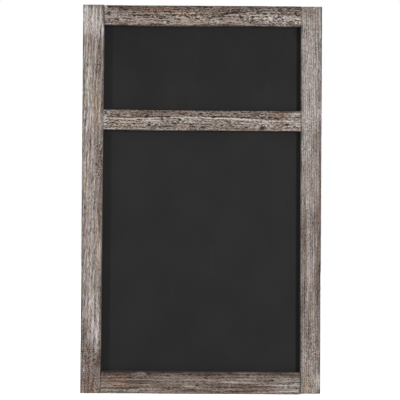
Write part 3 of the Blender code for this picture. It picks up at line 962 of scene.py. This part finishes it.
top_wood = Wood(
    "top_rail", False, 37.0, pith=(-30.0, 16.0), tilt=0.03, ring=3.0, dash=(3.8, 1.1, 2.0),
    streak=(16.0, 1.2, 0.6), lanes=0.8, cloud=0.6, sway=7.0, ripple=2.2, tint=0.065,
    contrast=1.25, bite=1.2,
)
top_batten = Batten(
    top_wood, (top_low.z, top_high.z), (130, 117, 107),
    # Painted shade across the rail's height, darkest at its upper edge
    ((0, 0.72), (0.08, 0.9), (0.2, 0.92), (0.35, 0.97), (0.5, 0.93), (0.65, 0.82), (0.8, 0.7),
     (0.93, 0.46), (1, 0.3)),
    [
        (113, 6, 12, 1.5, CHAR, 1), (124, 9.4, 9, 3.8, CHAR, 0.95, 0.4),
        (103.5, 8, 3, 4, MILK, 0.9), (108, 21, 5, 2.4, MILK, 0.8),
        (152, 9, 22, 4, BURNT_AND_PAINTED_SHADOW, 0.95, 0.9), (123, 24.6, 5, 1.2, CHAR, 0.9),
        (226, 23.8, 5, 1.2, CHAR, 0.8), (156, 12, 6, 5, RUST, 0.6, 0.6),
        (172, 12, 5.5, 6, RUST, 0.9, 0.5), (115, 16, 11, 5, THIN, 0.8, 0.7),
        (121, 11.5, 6, 1.8, BURNT_AND_PAINTED_SHADOW, 0.8), (220, 22, 6, 1.6, WORN, 0.8),
        (163, 15, 12, 3, THIN, 0.8, 0.4), (190, 8, 15, 3, BURNT_AND_PAINTED_SHADOW, 0.9, 0.3),
        (189, 16, 15, 5, SAND, 0.8), (169, 22, 6, 2.4, WASH_AND_PAINTED_LIGHT, 0.85),
        (222, 11, 24, 5, BARE, 0.8, 0.3), (234, 17, 8, 4, WASH_AND_PAINTED_LIGHT, 0.7),
        (232, 13.2, 9, 1.4, BURNT_AND_PAINTED_SHADOW, 0.9), (261, 7.4, 14, 2.2, CHAR, 0.95),
        (276, 10, 14, 3, WORN, 0.8), (252, 16, 8, 3, WASH_AND_PAINTED_LIGHT, 0.7), (249, 21, 7, 2.4, WASH_AND_PAINTED_LIGHT, 0.8),
        (211, 20.5, 7, 2.2, WASH_AND_PAINTED_LIGHT, 0.8), (279, 19, 18, 4.5, WASH_AND_PAINTED_LIGHT, 0.85),
        (266, 22.6, 7, 2.8, MILK, 0.85), (298, 21.5, 3, 3, CHALK, 0.9),
        (283, 24, 12, 1.8, MILK, 0.85),
    ],
    [
        (0.6, BURNT_AND_PAINTED_SHADOW, 0.4, -0.15, ((130, 15), (150, 14.5), (176, 15))),
        (0.9, BURNT_AND_PAINTED_SHADOW, 0.6, -0.3, ((219, 15.4), (227, 13.6), (234, 12.6), (241, 14.4))),
        (0.5, CHALK, 0.6, 0.3, ((266, 20.4), (280, 20.4), (296, 21.4))),
        (0.6, BURNT_AND_PAINTED_SHADOW, 0.5, -0.2, ((246, 14), (270, 13.6), (292, 14.2))),
        (1.1, WASH_AND_PAINTED_LIGHT, 0.4, 0, ((266, 18.6), (282, 18.4), (298, 19.2))),
    ],
    pits=40, pit_seed=4,
)
top_lower_line = (
    (-0.150, 0.0008), (-0.125, 0.0002), (-0.085, -0.0006), (-0.02, -0.0002), (0.04, 0.0002), (0.15, 0.0),
)
finish_batten(
    top_batten, rail_mesh(top_batten, ("down",), top_low.z, top_lower_line, STRAIGHT),
    sides=((top_high.z, 1.1), (top_low.z, 0.6)), ends=((-OPENING_X, 0.8), (OPENING_X, 0.2)),
)

# Middle rail

middle_wood = Wood(
    "middle_rail", False, 51.0, pith=(-200.0, 8.0), tilt=-0.012, ring=3.3, dash=(4.0, 0.78, 2.4),
    streak=(26.0, 1.1, 0.9), lanes=0.3, cloud=0.4, sway=6.0, ripple=1.5, tint=0.03,
    contrast=1.65, bite=1.3, knot=(104.0, -173.5, 12.0, 1.1),
)
middle_batten = Batten(
    middle_wood, (middle_low.z, middle_high.z), (136, 124, 115),
    # Painted shade across the rail's height, darker over its upper part
    ((0, 0.8), (0.08, 0.88), (0.3, 0.81), (0.5, 0.94), (0.68, 0.96), (0.75, 0.78), (0.9, 0.71),
     (1, 0.66)),
    [
        (144, 114, 17, 3, BARE, 0.9, 0.5), (182, 113, 22, 3, BARE, 0.9, 0.4),
        (232, 114, 28, 3, WORN, 0.8), (225, 112, 10, 1.3, BARE, 0.7),
        (116, 116.2, 7, 1.3, BARE, 0.8), (104.5, 121.5, 3.5, 5, MILK, 0.9),
        (117, 123, 9, 5, SAND, 0.7), (136, 123, 9, 5, SAND, 0.6, 0.5),
        (153, 123, 9, 4, WASH_AND_PAINTED_LIGHT, 0.8), (167, 126.3, 7, 1, CHAR, 0.9),
        (186, 120.6, 14, 2.4, WASH_AND_PAINTED_LIGHT, 0.7), (248, 121, 14, 2.5, WASH_AND_PAINTED_LIGHT, 0.8),
        (235, 128.6, 15, 1.4, BARE, 0.9), (266, 123, 7, 4, WASH_AND_PAINTED_LIGHT, 0.8),
        (261, 128.4, 4, 1.9, CHAR, 1), (280, 116, 8, 3, RUST, 0.75),
        (293, 124, 9, 3.4, WASH_AND_PAINTED_LIGHT, 0.8), (296, 115, 5, 2, WASH_AND_PAINTED_LIGHT, 0.8), (104, 112, 4, 2, WASH_AND_PAINTED_LIGHT, 0.9),
        (284, 112, 9, 1.3, CHAR, 0.95),
    ],
    [
        (0.5, MILK, 0.6, 0.3, ((106, 118.3), (130, 118.4), (156, 118.2))),
        (0.5, CHALK, 0.7, 0.46, ((156, 117.9), (166, 117.5), (205, 117.5), (213, 118.3), (231, 118.5),
                                 (240, 119.2), (262, 120))),
        (0.5, WASH_AND_PAINTED_LIGHT, 0.5, 0.22, ((270, 121.3), (285, 121.6), (298, 122.2))),
        (0.6, BURNT_AND_PAINTED_SHADOW, 0.6, -0.32, ((103, 116.9), (156, 116.9), (190, 116.1), (240, 117.2), (268, 119.2))),
        (0.45, WASH_AND_PAINTED_LIGHT, 0.6, 0.2, ((104, 128.6), (140, 128.9), (190, 129))),
        (0.5, CHALK, 0.7, 0.4, ((262, 120.4), (266, 121.6), (269, 123.8), (271.6, 127))),
        (0.55, MILK, 0.6, 0.3, ((255, 126), (259, 123.6), (264, 122.4))),
        (0.5, CHAR, 0.5, -0.2, ((272, 119.4), (279, 118.3), (288, 117.6))),
        (0.5, CHALK, 0.5, 0.25, ((288, 114.2), (300, 114.2))),
        (0.5, CHALK, 0.5, 0.25, ((286, 125.6), (300, 125.8))),
    ],
    pits=40, pit_seed=1,
)
middle_lower_line = (
    (-0.153, 0.0008), (-0.142, 0.0001), (-0.07, -0.0004), (0.05, -0.0002), (0.15, -0.0005),
)
middle_upper_line = (
    (-0.150, 0.0009), (-0.115, 0.0006), (-0.07, 0.0), (0.05, -0.0002), (0.15, 0.0),
)
finish_batten(
    middle_batten,
    rail_mesh(middle_batten, ("up", "down"), middle_high.z, middle_lower_line, middle_upper_line),
    sides=((middle_high.z, 0.6), (middle_low.z, 0.6)), ends=((-OPENING_X, 0.1), (OPENING_X, 0.15)),
)

# Bottom rail

bottom_wood = Wood(
    "bottom_rail", False, 67.0, pith=(-615.0, 14.0), tilt=0.010, ring=3.8, dash=(4.0, 0.95, 1.45),
    streak=(60.0, 1.0, 0.7), lanes=0.6, cloud=0.5, sway=4.0, ripple=0.7, tint=0.045,
    contrast=0.95, bite=1.0,
)
bottom_batten = Batten(
    bottom_wood, (bottom_low.z, bottom_high.z), (120, 107, 99),
    # Painted shade across the rail's height, darkest at its upper edge
    ((0, 0.66), (0.06, 0.98), (0.3, 0.98), (0.55, 1.04), (0.7, 0.96), (0.85, 0.74), (0.93, 0.46),
     (1, 0.22)),
    [
        (120, 373, 10, 1.5, CHAR, 0.8), (139, 374, 6, 1.6, THIN, 0.8),
        (122, 381, 12, 6, RUST, 0.65), (139, 382, 11, 2, BURNT_AND_PAINTED_SHADOW, 0.8, 0.3),
        (172, 383, 15, 3.4, BARE, 0.8, 0.3), (120, 390.5, 20, 2, WASH_AND_PAINTED_LIGHT, 0.9, 0.3),
        (229, 384, 12, 2.6, WASH_AND_PAINTED_LIGHT, 0.8), (168, 389, 28, 2, THIN, 0.8),
        (248, 374, 24, 2, BARE, 0.8), (251, 381, 11, 3, THIN, 0.8, 0.3),
        (240, 386.5, 14, 2, BARE, 0.8), (263, 386.5, 9, 1.2, BURNT_AND_PAINTED_SHADOW, 0.8),
        (241, 391, 17, 2, BARE, 0.8), (285, 384, 13, 5, WASH_AND_PAINTED_LIGHT, 0.8),
        (274, 378, 8, 1.4, BARE, 0.9), (297, 379, 4, 1.4, BARE, 0.8),
        (297.5, 384, 3, 2.6, CHALK, 0.95), (296, 391, 4, 1.2, CHALK, 0.9),
    ],
    [
        (0.5, SAND, 0.5, 0.18, ((112, 384.3), (130, 384.3), (150, 384.8))),
        (0.6, MILK, 0.5, 0.25, ((184, 386.4), (193, 386.6))),
        (0.5, WASH_AND_PAINTED_LIGHT, 0.5, 0.2, ((256, 385.4), (296, 385.2))),
        (0.6, CHAR, 0.5, -0.2, ((262, 375.4), (300, 375.6))),
        (0.5, BURNT_AND_PAINTED_SHADOW, 0.4, -0.12, ((104, 388), (160, 388.3), (210, 389))),
        (0.6, CHALK, 0.8, 0.45, ((272, 391.4), (286, 391.4), (298.5, 391.3))),
    ],
    pits=12, pit_seed=9,
)
bottom_upper_line = ((-0.150, -0.0004), (-0.06, -0.0002), (0.05, -0.0005), (0.15, -0.0003))
# The wear along the rail's upper edge also paints the shadow along it
finish_batten(
    bottom_batten, rail_mesh(bottom_batten, ("up",), bottom_high.z, STRAIGHT, bottom_upper_line),
    sides=((bottom_high.z, 0.85), (bottom_low.z, 1.0)), ends=((-OPENING_X, 0.5), (OPENING_X, 0.4)),
)

# Chalk paint in front, and bare hardboard behind

CHALK_PAINT = (0.0225, 0.0225, 0.0223)
DUST = (0.16, 0.16, 0.16)
HARDBOARD_DARK = (0.130, 0.076, 0.041)
HARDBOARD_PALE = (0.255, 0.168, 0.100)
PALE_SHIVE = (0.345, 0.245, 0.155)
DARK_SHIVE = (0.075, 0.043, 0.024)
BLOTCH = (0.110, 0.066, 0.040)


def board_material():
    net = Surface("rolled_chalk_paint")
    _, y, z = net.split(net.place)
    painted_side = y.ramp(BOARD_FRONT + 0.0008, BOARD_FRONT + 0.0014, 1.0, 0.0)
    cloud = net.noise(net.place, 14.0, 3.0)
    nap = net.noise(net.place, 900.0, 2.0, 0.6)
    dust = net.noise(net.stretch(net.place, 40.0, 0.0, 12.0), 1.0, 4.0, 0.65)
    shade = cloud.ramp(0.3, 0.7, 0.93, 1.07) * nap.ramp(0.3, 0.7, 0.94, 1.06)
    # Painted shade: the upper board darkens over its top 0.2 m, towards the top rail
    shade = shade * z.ramp(top_low.z - 0.20, top_low.z, 1.0, 0.84)
    paint = net.mix(1.0, CHALK_PAINT, net.join(shade, shade, shade), "MULTIPLY")
    paint = net.layer(paint, DUST, dust, 0.55, 0.85, 0.05)
    fibre = net.noise(net.place, 750.0, 4.0, 0.75, 0.35)
    shive = net.noise(net.stretch(net.place, 420.0, 0.0, 1500.0), 1.0, 2.0, 0.6, 0.6)
    blotch = net.noise(net.place, 26.0, 4.0, 0.6)
    bare = net.layer(HARDBOARD_DARK, HARDBOARD_PALE, fibre, 0.3, 0.7)
    bare = net.layer(bare, PALE_SHIVE, shive, 0.62, 0.72, 0.55)
    bare = net.layer(bare, DARK_SHIVE, shive, 0.38, 0.28, 0.5)
    bare = net.layer(bare, BLOTCH, blotch, 0.4, 0.75, 0.35)
    colour = net.mix(painted_side, bare, paint)
    rough = painted_side.ramp(0.0, 1.0, 0.75, 0.88)
    height = nap * painted_side * 0.6 + fibre * (1.0 - painted_side)
    return net.finish(colour, rough, height, 0.35, 0.00015, specular=0.08)


# Steel, rubber and beech

def steel_material(name, grain_x, grain_z, dull, bright, bloomed):
    """Plated steel, with fine drawn lines, scuffs and a dull bloom here and there."""
    net = Surface(name)
    lines = net.noise(net.stretch(net.place, grain_x, 900.0, grain_z), 1.0, 3.0, 0.6)
    bloom = net.noise(net.place, 420.0, 4.0, 0.65)
    spots = net.noise(net.place, 1500.0, 2.0, 0.5)
    colour = net.layer(bright, bloomed, bloom, 0.35, 0.7)
    colour = net.layer(colour, (0.22, 0.22, 0.22), lines, 0.35, 0.7, 0.45)
    colour = net.layer(colour, (0.17, 0.12, 0.085), spots, 0.60, 0.72, 0.6)
    rough = bloom.ramp(0.3, 0.75, dull, dull + 0.22) + spots.ramp(0.6, 0.75, 0.0, 0.2)
    return net.finish(colour, rough, lines - spots * 0.4, 0.25, 0.00006, metallic=1.0)


def rubber_material():
    net = Surface("moulded_rubber")
    cloud = net.noise(net.place, 380.0, 3.0, 0.6)
    grit = net.noise(net.place, 3200.0, 2.0, 0.6)
    colour = net.layer((0.020, 0.020, 0.021), (0.046, 0.045, 0.043), cloud, 0.3, 0.75)
    colour = net.layer(colour, (0.13, 0.12, 0.11), grit, 0.6, 0.8, 0.35)
    rough = cloud.ramp(0.3, 0.7, 0.62, 0.82)
    return net.finish(colour, rough, grit * 0.6 + cloud, 0.3, 0.00008, specular=0.35)


def beech_material():
    net = Surface("turned_beech")
    fibre = net.noise(net.stretch(net.place, 70.0, 1500.0, 1500.0), 1.0, 3.0, 0.6)
    flecks = net.noise(net.stretch(net.place, 320.0, 1100.0, 1100.0), 1.0, 1.0)
    colour = net.layer((0.50, 0.31, 0.17), (0.66, 0.45, 0.27), fibre, 0.3, 0.7)
    colour = net.layer(colour, (0.32, 0.17, 0.085), flecks, 0.60, 0.72, 0.6)
    return net.finish(colour, fibre.ramp(0.3, 0.7, 0.62, 0.5), fibre, 0.3, 0.0001)


board = board_material()
steel = steel_material("zinc_plated_steel", 2600.0, 180.0, 0.24, (0.36, 0.37, 0.38), (0.25, 0.245, 0.225))
point_steel = steel_material(
    "stamped_point_steel", 2200.0, 700.0, 0.34, (0.25, 0.26, 0.275), (0.17, 0.165, 0.155)
)
rubber = rubber_material()
beech = beech_material()

# The CAD nodes that stay, by how their names start or end
for name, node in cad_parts.items():
    if name.endswith("_board"):
        dress(node.data, board)
    elif name.startswith("dowel_"):
        dress(node.data, beech)
    elif name.startswith(("upper_point_", "lower_point_")):
        dress(node.data, point_steel)

# Hanging hardware

RING_CORNER = 0.002
RING_SIDES = 20
STRAP_THICKNESS = 0.0012
STRAP_EDGE_ROUND = 0.00025
STRAP_FOOT_ROUND = 0.003
CURL = math.radians(295)
SCREW_RADIUS = 0.00175
SCREW_TIP = 0.003
SCREW_SIDES = 40
HEAD_HEIGHT = 0.0023
HEAD_RIM = 0.0006
THREAD_PITCH = 0.0013
THREAD_STEPS = 84
RECESS_ARM = 0.0019
RECESS_HALF_WIDTH = 0.00045
RECESS_DEPTH = 0.0015
CUTTER_RISE = 0.0003
BUMPER_SIDES = 72
BUMPER_ROUND = 0.0006

# A bumper's moulded face: share of its radius, and depth below its highest circle
BUMPER_FACE = (
    (0.3, 0.00034), (0.5, 0.0003), (0.62, 0.0002), (0.68, 0.00008), (0.72, 0.00016),
    (0.76, 0.00016), (0.79, 0.00002), (0.84, 0.0), (0.88, 0.00004),
)


def heading(line, k):
    """The direction in which a line of places runs at its place k."""
    return (line[min(len(line) - 1, k + 1)] - line[max(0, k - 1)]).normalized()


def turned_row(centre, y, radii):
    """Points about an axis along Y, one for each radius."""
    row = []
    for k, radius in enumerate(radii):
        turn = 2 * math.pi * k / len(radii)
        row.append((centre.x + radius * math.cos(turn), y, centre.z + radius * math.sin(turn)))
    return row


def cut_mesh(mesh, cutter):
    """Takes a cutter's solid away from a mesh."""
    tool_mesh = bpy.data.meshes.new("cutter")
    cutter.to_mesh(tool_mesh)
    cutter.free()
    tool = bpy.data.objects.new("cutter", tool_mesh)
    target = bpy.data.objects.new("target", mesh)
    link(tool)
    link(target)
    difference = target.modifiers.new("cut", "BOOLEAN")
    difference.object = tool
    difference.solver = "EXACT"
    done = applied(target, mesh.name)
    bpy.data.objects.remove(tool)
    done.shade_smooth()
    done.set_sharp_from_angle(angle=math.radians(35))
    return done


def ring_bar(node):
    """The middle of a ring's straight bar, and its wire's radius."""
    low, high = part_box(node)
    wire = (high.y - low.y) / 2
    return Vector(((low.x + high.x) / 2, (low.y + high.y) / 2, high.z - wire)), wire


def ring_wire(name, node):
    """A bent wire ring: a straight bar, two tight corners and a round foot."""
    low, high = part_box(node)
    bar, wire = ring_bar(node)
    half = (high.x - low.x) / 2 - wire
    side = bar.z - low.z - wire - half
    corner = half - RING_CORNER
    start = [(0.06 * half, 0.0)]
    start += [(corner * k / 4, 0.0) for k in range(1, 4)]
    for k in range(9):
        turn = math.pi / 2 * (1 - k / 8)
        start.append((corner + RING_CORNER * math.cos(turn), RING_CORNER * (math.sin(turn) - 1)))
    foot = []
    for k in range(41):
        turn = -math.pi * k / 40
        foot.append((half * math.cos(turn), -side + half * math.sin(turn)))
    path = start + foot + [(-px, pz) for px, pz in reversed(start)]
    line = [bar + Vector((px, 0, pz)) for px, pz in path]
    aside = Vector((0, 1, 0))
    turns = [2 * math.pi * n / RING_SIDES for n in range(RING_SIDES)]
    rows = []
    for k, place in enumerate(line):
        # The wire's two cut ends meet in the curl, and each is a little thinner
        radius = wire * (0.86 if k in (0, len(line) - 1) else 1.0)
        over = heading(line, k).cross(aside).normalized()
        rows.append([
            place + aside * radius * math.cos(turn) + over * radius * math.sin(turn) for turn in turns
        ])
    return loops_mesh(name, rows)


def strap_sheet(name, node, bar, hole_drops):
    """A sheet-steel strap curled round the ring's bar, with rounded edges and foot."""
    low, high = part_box(node)
    half = (high.x - low.x) / 2
    thick = STRAP_THICKNESS / 2
    reach = (high.y - low.y) / 2 - thick
    length = bar.z - low.z
    rises = [length * k / 31 for k in range(31)] + eased(STRAP_FOOT_ROUND, 7)[1:-1]
    line = [Vector((0, -reach, rise - length)) for rise in sorted(rises)]
    flat_count = len(line)
    for k in range(49):
        turn = math.pi - CURL * k / 48
        line.append(Vector((0, reach * math.cos(turn), reach * math.sin(turn))))
    outline = []
    for sx, sy in ((1, 1), (-1, 1), (-1, -1), (1, -1)):
        for k in range(4):
            turn = math.atan2(sy, sx) - math.pi / 4 + math.pi / 2 * k / 3
            outline.append((sx, sy, math.cos(turn) * STRAP_EDGE_ROUND, math.sin(turn) * STRAP_EDGE_ROUND))
    rows = []
    for k, place in enumerate(line):
        ahead = heading(line, k)
        out = Vector((0, -ahead.z, ahead.y))
        foot = place.z + length if k < flat_count else length
        wide = half - shrink(max(0.0, foot), STRAP_FOOT_ROUND)
        thinned = 0.6 if k in (0, len(line) - 1) else 1.0
        row = []
        for sx, sy, dx, dy in outline:
            across = sx * (wide - STRAP_EDGE_ROUND) + dx
            off = (sy * (thick - STRAP_EDGE_ROUND) + dy) * thinned
            row.append(bar + place + Vector((across, 0, 0)) + out * off)
        rows.append(row)
    cutter = bmesh.new()
    for drop in hole_drops:
        hole = Matrix.Translation(bar + Vector((0, -reach, -drop))) @ Matrix.Rotation(math.pi / 2, 4, "X")
        bmesh.ops.create_cone(
            cutter, cap_ends=True, segments=32, radius1=SCREW_RADIUS + GAP, radius2=SCREW_RADIUS + GAP,
            depth=4 * STRAP_THICKNESS, matrix=hole,
        )
    return cut_mesh(loops_mesh(name, rows), cutter)


def recess_cutter(middle, face, turn):
    """A cross that narrows as it goes down into a screw's head."""
    rows = []
    for share in (0.0, 1.0):
        arm = RECESS_ARM * (1 - 0.5 * share)
        half = RECESS_HALF_WIDTH * (1 - 0.3 * share)
        y = face + CUTTER_RISE - (RECESS_DEPTH + CUTTER_RISE) * share
        row = []
        for quarter in range(4):
            spin = Matrix.Rotation(turn + quarter * math.pi / 2, 2)
            for corner in ((arm, -half), (arm, half), (half, half)):
                px, pz = spin @ Vector(corner)
                row.append((middle.x + px, y, middle.z + pz))
        rows.append(row)
    cutter = bmesh.new()
    cutter.from_mesh(loops_mesh("cross_recess", rows))
    return cutter


def screw_solid(name, node, turn):
    """A pan-head wood screw: a domed head with a cross recess, and a rolled thread."""
    low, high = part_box(node)
    middle = (low + high) / 2
    head = (high.x - low.x) / 2
    seat = high.y - HEAD_HEIGHT
    outline = []
    for k in range(1, 11):
        angle = math.pi / 2 * k / 10
        dome = (HEAD_HEIGHT - HEAD_RIM) * math.cos(angle)
        outline.append((head * math.sin(angle) ** 0.9, seat + HEAD_RIM + dome))
    outline += [(head, seat + 0.0002), (head - 0.0002, seat), (SCREW_RADIUS * 0.82, seat)]
    rows = [turned_row(middle, y, [radius] * SCREW_SIDES) for radius, y in outline]
    for step in range(THREAD_STEPS + 1):
        y = seat + (low.y - seat) * step / THREAD_STEPS
        point = 0.08 + 0.92 * min(1.0, (y - low.y) / SCREW_TIP)
        grow = 0.28 * min(1.0, (seat - y) / 0.0012)
        radii = []
        for k in range(SCREW_SIDES):
            wave = abs(((y / THREAD_PITCH + k / SCREW_SIDES) % 1.0) * 2 - 1)
            radii.append(SCREW_RADIUS * (0.70 + grow * (1 - wave) ** 0.6) * point)
        rows.append(turned_row(middle, y, radii))
    return cut_mesh(loops_mesh(name, rows), recess_cutter(middle, high.y, turn))


def bumper_solid(name, node):
    """A moulded bumper: a soft shoulder, a shallow dish and a fine ring round it."""
    low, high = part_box(node)
    radius = (high.x - low.x) / 2
    tall = high.y - low.y
    outline = [(share, tall - depth) for share, depth in BUMPER_FACE]
    shoulder, dip = BUMPER_FACE[-1]
    for k in range(1, 8):
        angle = math.pi / 2 * k / 7
        share = shoulder + (1 - shoulder) * math.sin(angle)
        outline.append((share, tall - BUMPER_ROUND * (1 - math.cos(angle)) - dip))
    outline += [(1.0, tall * 0.5), (0.985, tall * 0.2), (0.985, 0.0001), (0.97, 0.0)]
    middle = (low + high) / 2
    rows = [turned_row(middle, low.y + rise, [radius * share] * BUMPER_SIDES) for share, rise in outline]
    return loops_mesh(name, rows)


def add_fitting(side, name, node, mesh_of, material, body, slot, *facts):
    """Adds one of a side's fittings, with a mesh made by a function of its name and node."""
    name = f"{side}_{name}"
    node = f"{side}_{node}"
    add_piece(name, mesh_of(name, node, *facts), material, body, node)


for side, turns in (("left", (0.4, 1.1)), ("right", (0.9, 0.15))):
    add_fitting(side, "ring_wire", "hanger_ring", ring_wire, steel, side + "_ring", "plated_steel")
    bar, _ = ring_bar(side + "_hanger_ring")
    drops = []
    for number, turn in enumerate(turns, 1):
        node = f"hanger_screw_{number}"
        low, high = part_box(f"{side}_{node}")
        drops.append(bar.z - (low.z + high.z) / 2)
        add_fitting(side, f"pan_screw_{number}", node, screw_solid, steel, "frame", "plated_steel", turn)
    add_fitting(
        side, "curled_strap", "hanger_strap", strap_sheet, steel, "frame", "plated_steel", bar, drops,
    )
    add_fitting(side, "rubber_bumper", "bumper", bumper_solid, rubber, "frame", "bumper_rubber")

# Backdrop and floor

FLOOR_RADIUS = 4.0
FLOOR_DROP = 0.0002
SKY_LEVEL = 0.04


def seen_directly(net):
    """1 for what the camera sees, also in gloss or through glass, and 0 for other light."""
    path = net.node("ShaderNodeLightPath").outputs
    share = 0.0
    for ray in ("Is Camera Ray", "Is Glossy Ray", "Is Transmission Ray"):
        share = net.math("MAXIMUM", share, Value(net, path[ray]))
    return share


def floor_material():
    """Matt and pale under the lamps, and white where it is seen, from the object outwards."""
    made = bpy.data.materials.new("floor_paint")
    made.use_nodes = True
    made.node_tree.nodes.clear()
    net = Net(made.node_tree)
    matt = net.value("ShaderNodeBsdfDiffuse", {"Color": (0.8, 0.8, 0.8, 1.0)})
    place = net.value("ShaderNodeTexCoord", output="Object")
    spread = net.value("ShaderNodeVectorMath", {0: place}, "Value", operation="LENGTH")
    level = seen_directly(net) * spread.ramp(0.3, 1.8, 0.80, 1.0)
    glow = net.value("ShaderNodeEmission", {"Color": (1, 1, 1, 1), "Strength": level})
    net.node("ShaderNodeOutputMaterial", {0: net.value("ShaderNodeAddShader", {0: matt, 1: glow})})
    return made


shape = bmesh.new()
bmesh.ops.create_circle(shape, cap_ends=True, segments=96, radius=FLOOR_RADIUS)
floor_mesh = bpy.data.meshes.new("floor")
shape.to_mesh(floor_mesh)
shape.free()
dress(floor_mesh, floor_material())
floor = bpy.data.objects.new("floor", floor_mesh)
floor.location = (0, 0, BOTTOM - FLOOR_DROP)
link(floor)
floor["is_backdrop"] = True

world = bpy.data.worlds.new("studio")
bpy.context.scene.world = world
world.use_nodes = True
world.node_tree.nodes.clear()
sky = Net(world.node_tree)
brightness = seen_directly(sky).ramp(0.0, 1.0, SKY_LEVEL, 1.0)
ground = sky.value("ShaderNodeBackground", {"Color": (1, 1, 1, 1), "Strength": brightness})
sky.node("ShaderNodeOutputWorld", {0: ground})

# Lamps and camera

def softbox(name, azimuth, height, distance, width, tall, power):
    """A soft lamp round the board, azimuth 0 straight in front and 90 at its right."""
    lamp = bpy.data.lights.new(name, "AREA")
    lamp.shape = "RECTANGLE"
    lamp.size = width
    lamp.size_y = tall
    lamp.energy = power
    made = bpy.data.objects.new(name, lamp)
    turn = math.radians(azimuth)
    target = Vector((0, FRONT, MIDDLE))
    made.location = target + Vector((math.sin(turn) * distance, -math.cos(turn) * distance, height))
    made.rotation_euler = (target - made.location).to_track_quat("-Z", "Y").to_euler()
    link(made)


softbox("key_lamp", azimuth=44, height=0.3, distance=3.4, width=0.4, tall=2.0, power=106)
softbox("fill_lamp", azimuth=-62, height=0.3, distance=3.4, width=0.24, tall=2.0, power=66)
softbox("top_lamp", azimuth=0, height=3.0, distance=1.2, width=2.0, tall=2.0, power=20)
softbox("back_lamp", azimuth=165, height=1.2, distance=2.8, width=3.6, tall=3.6, power=70)

camera_data = bpy.data.cameras.new("camera")
camera_data.lens = LENS
camera_data.sensor_width = SENSOR
camera_data.clip_start = 0.05
camera = bpy.data.objects.new("camera", camera_data)
right, forward, up = camera_turn.col
camera_axes = Matrix((right, up, -forward)).transposed()
camera.matrix_world = Matrix.Translation(camera_place) @ camera_axes.to_4x4()
link(camera)
bpy.context.scene.camera = camera
bpy.context.scene.view_settings.view_transform = "Standard"

low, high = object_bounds()
